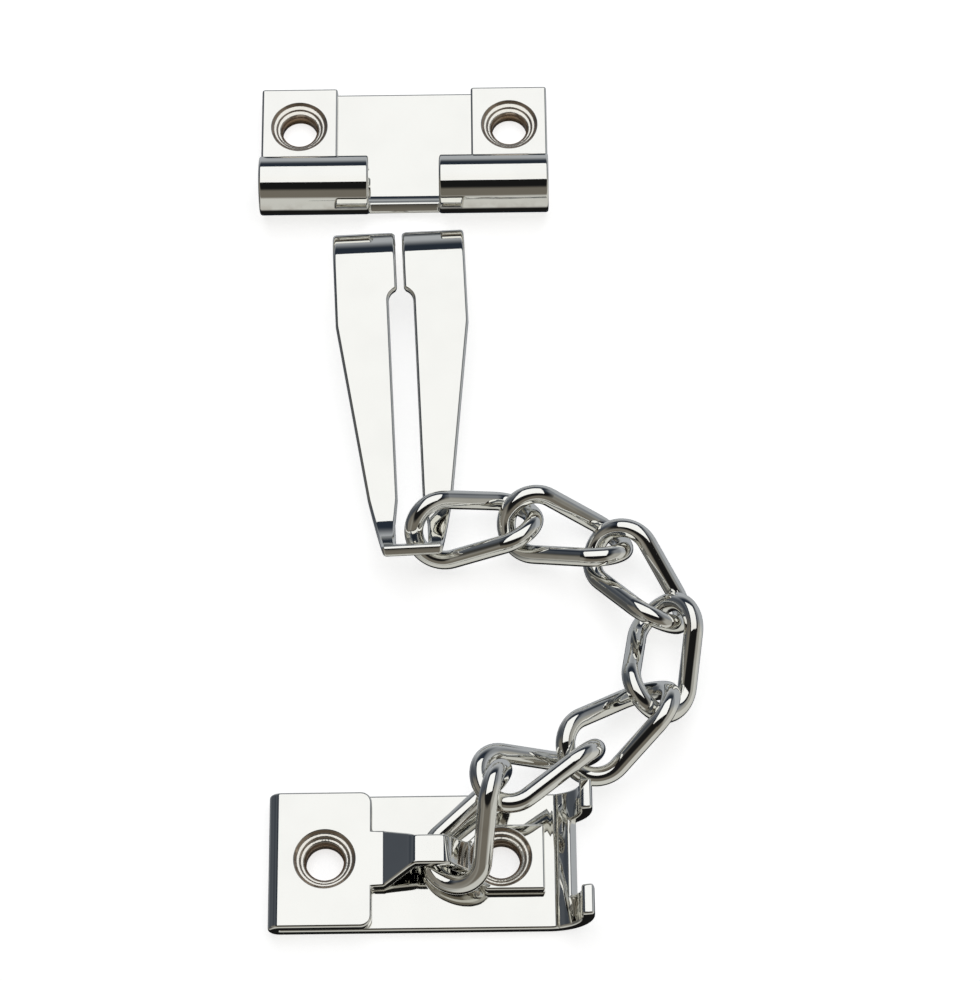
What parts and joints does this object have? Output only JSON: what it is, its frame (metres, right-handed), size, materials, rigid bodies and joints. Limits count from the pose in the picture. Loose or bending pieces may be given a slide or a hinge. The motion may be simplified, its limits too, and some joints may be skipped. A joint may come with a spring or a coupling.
{
  "type": "door chain",
  "caption": "Door chain laid out flat: a rolled-edge keep plate, a slotted hasp with a hooked top, a chain of twisted links and a folded base plate with a strap and lugs.",
  "frame": {"origin": "on the back of the base plate, midway between its two screw holes", "axes": "+X along the base plate's screw row, +Y from the base plate to the keep, +Z out of the plates' faces"},
  "size_m": [0.0636, 0.1335, 0.0144],
  "materials": {
    "plate": "polished plating on folded sheet",
    "chain": "polished plating on bent wire",
    "hasp": "polished plating on pressed sheet"
  },
  "bodies": {
    "plates": {"base_plate": "plate", "keep_plate": "plate"},
    "link_1": {"chain_link_1": "chain"},
    "link_2": {"chain_link_2": "chain"},
    "link_3": {"chain_link_3": "chain"},
    "link_4": {"chain_link_4": "chain"},
    "link_5": {"chain_link_5": "chain"},
    "link_6": {"chain_link_6": "chain"},
    "link_7": {"chain_link_7": "chain"},
    "hasp": {"hasp": "hasp"}
  },
  "joints": [
    {"name": "link_1_tip", "type": "hinge", "parent": "plates", "child": "link_1", "pos_m": [0.00235, 0, 0.0064], "axis": [1, 0, 0], "range_deg": [0, 5]},
    {"name": "link_2_hang", "type": "hinge", "parent": "link_1", "child": "link_2", "pos_m": [0.01131, 0.00922, 0.00837], "axis": [0.256, 0.315, -0.9139], "range_deg": [-10, 0]},
    {"name": "link_3_swing", "type": "hinge", "parent": "link_2", "child": "link_3", "pos_m": [0.02345, 0.01398, 0.00527], "axis": [0, 0, 1], "range_deg": [-4, 16]},
    {"name": "link_4_lift", "type": "hinge", "parent": "link_3", "child": "link_4", "pos_m": [0.03405, 0.02217, 0.00541], "axis": [-0.7078, 0.161, 0.6878], "range_deg": [-50, 4]},
    {"name": "link_5_lift", "type": "hinge", "parent": "link_4", "child": "link_5", "pos_m": [0.03605, 0.03538, 0.00438], "axis": [-0.4939, -0.3269, 0.8058], "range_deg": [-50, 6]},
    {"name": "link_6_lift", "type": "hinge", "parent": "link_5", "child": "link_6", "pos_m": [0.02829, 0.0463, 0.00405], "axis": [-0.2001, -0.7003, 0.6853], "range_deg": [-50, 6]},
    {"name": "link_7_lift", "type": "hinge", "parent": "link_6", "child": "link_7", "pos_m": [0.01548, 0.05017, 0.00487], "axis": [-0.2609, -0.7298, -0.6319], "range_deg": [-14, 35]},
    {"name": "hasp_turn", "type": "hinge", "parent": "link_7", "child": "hasp", "pos_m": [0.00028, 0.04808, 0.00503], "axis": [0.079, -0.6369, -0.7669], "range_deg": [-40, 0]}
  ]
}
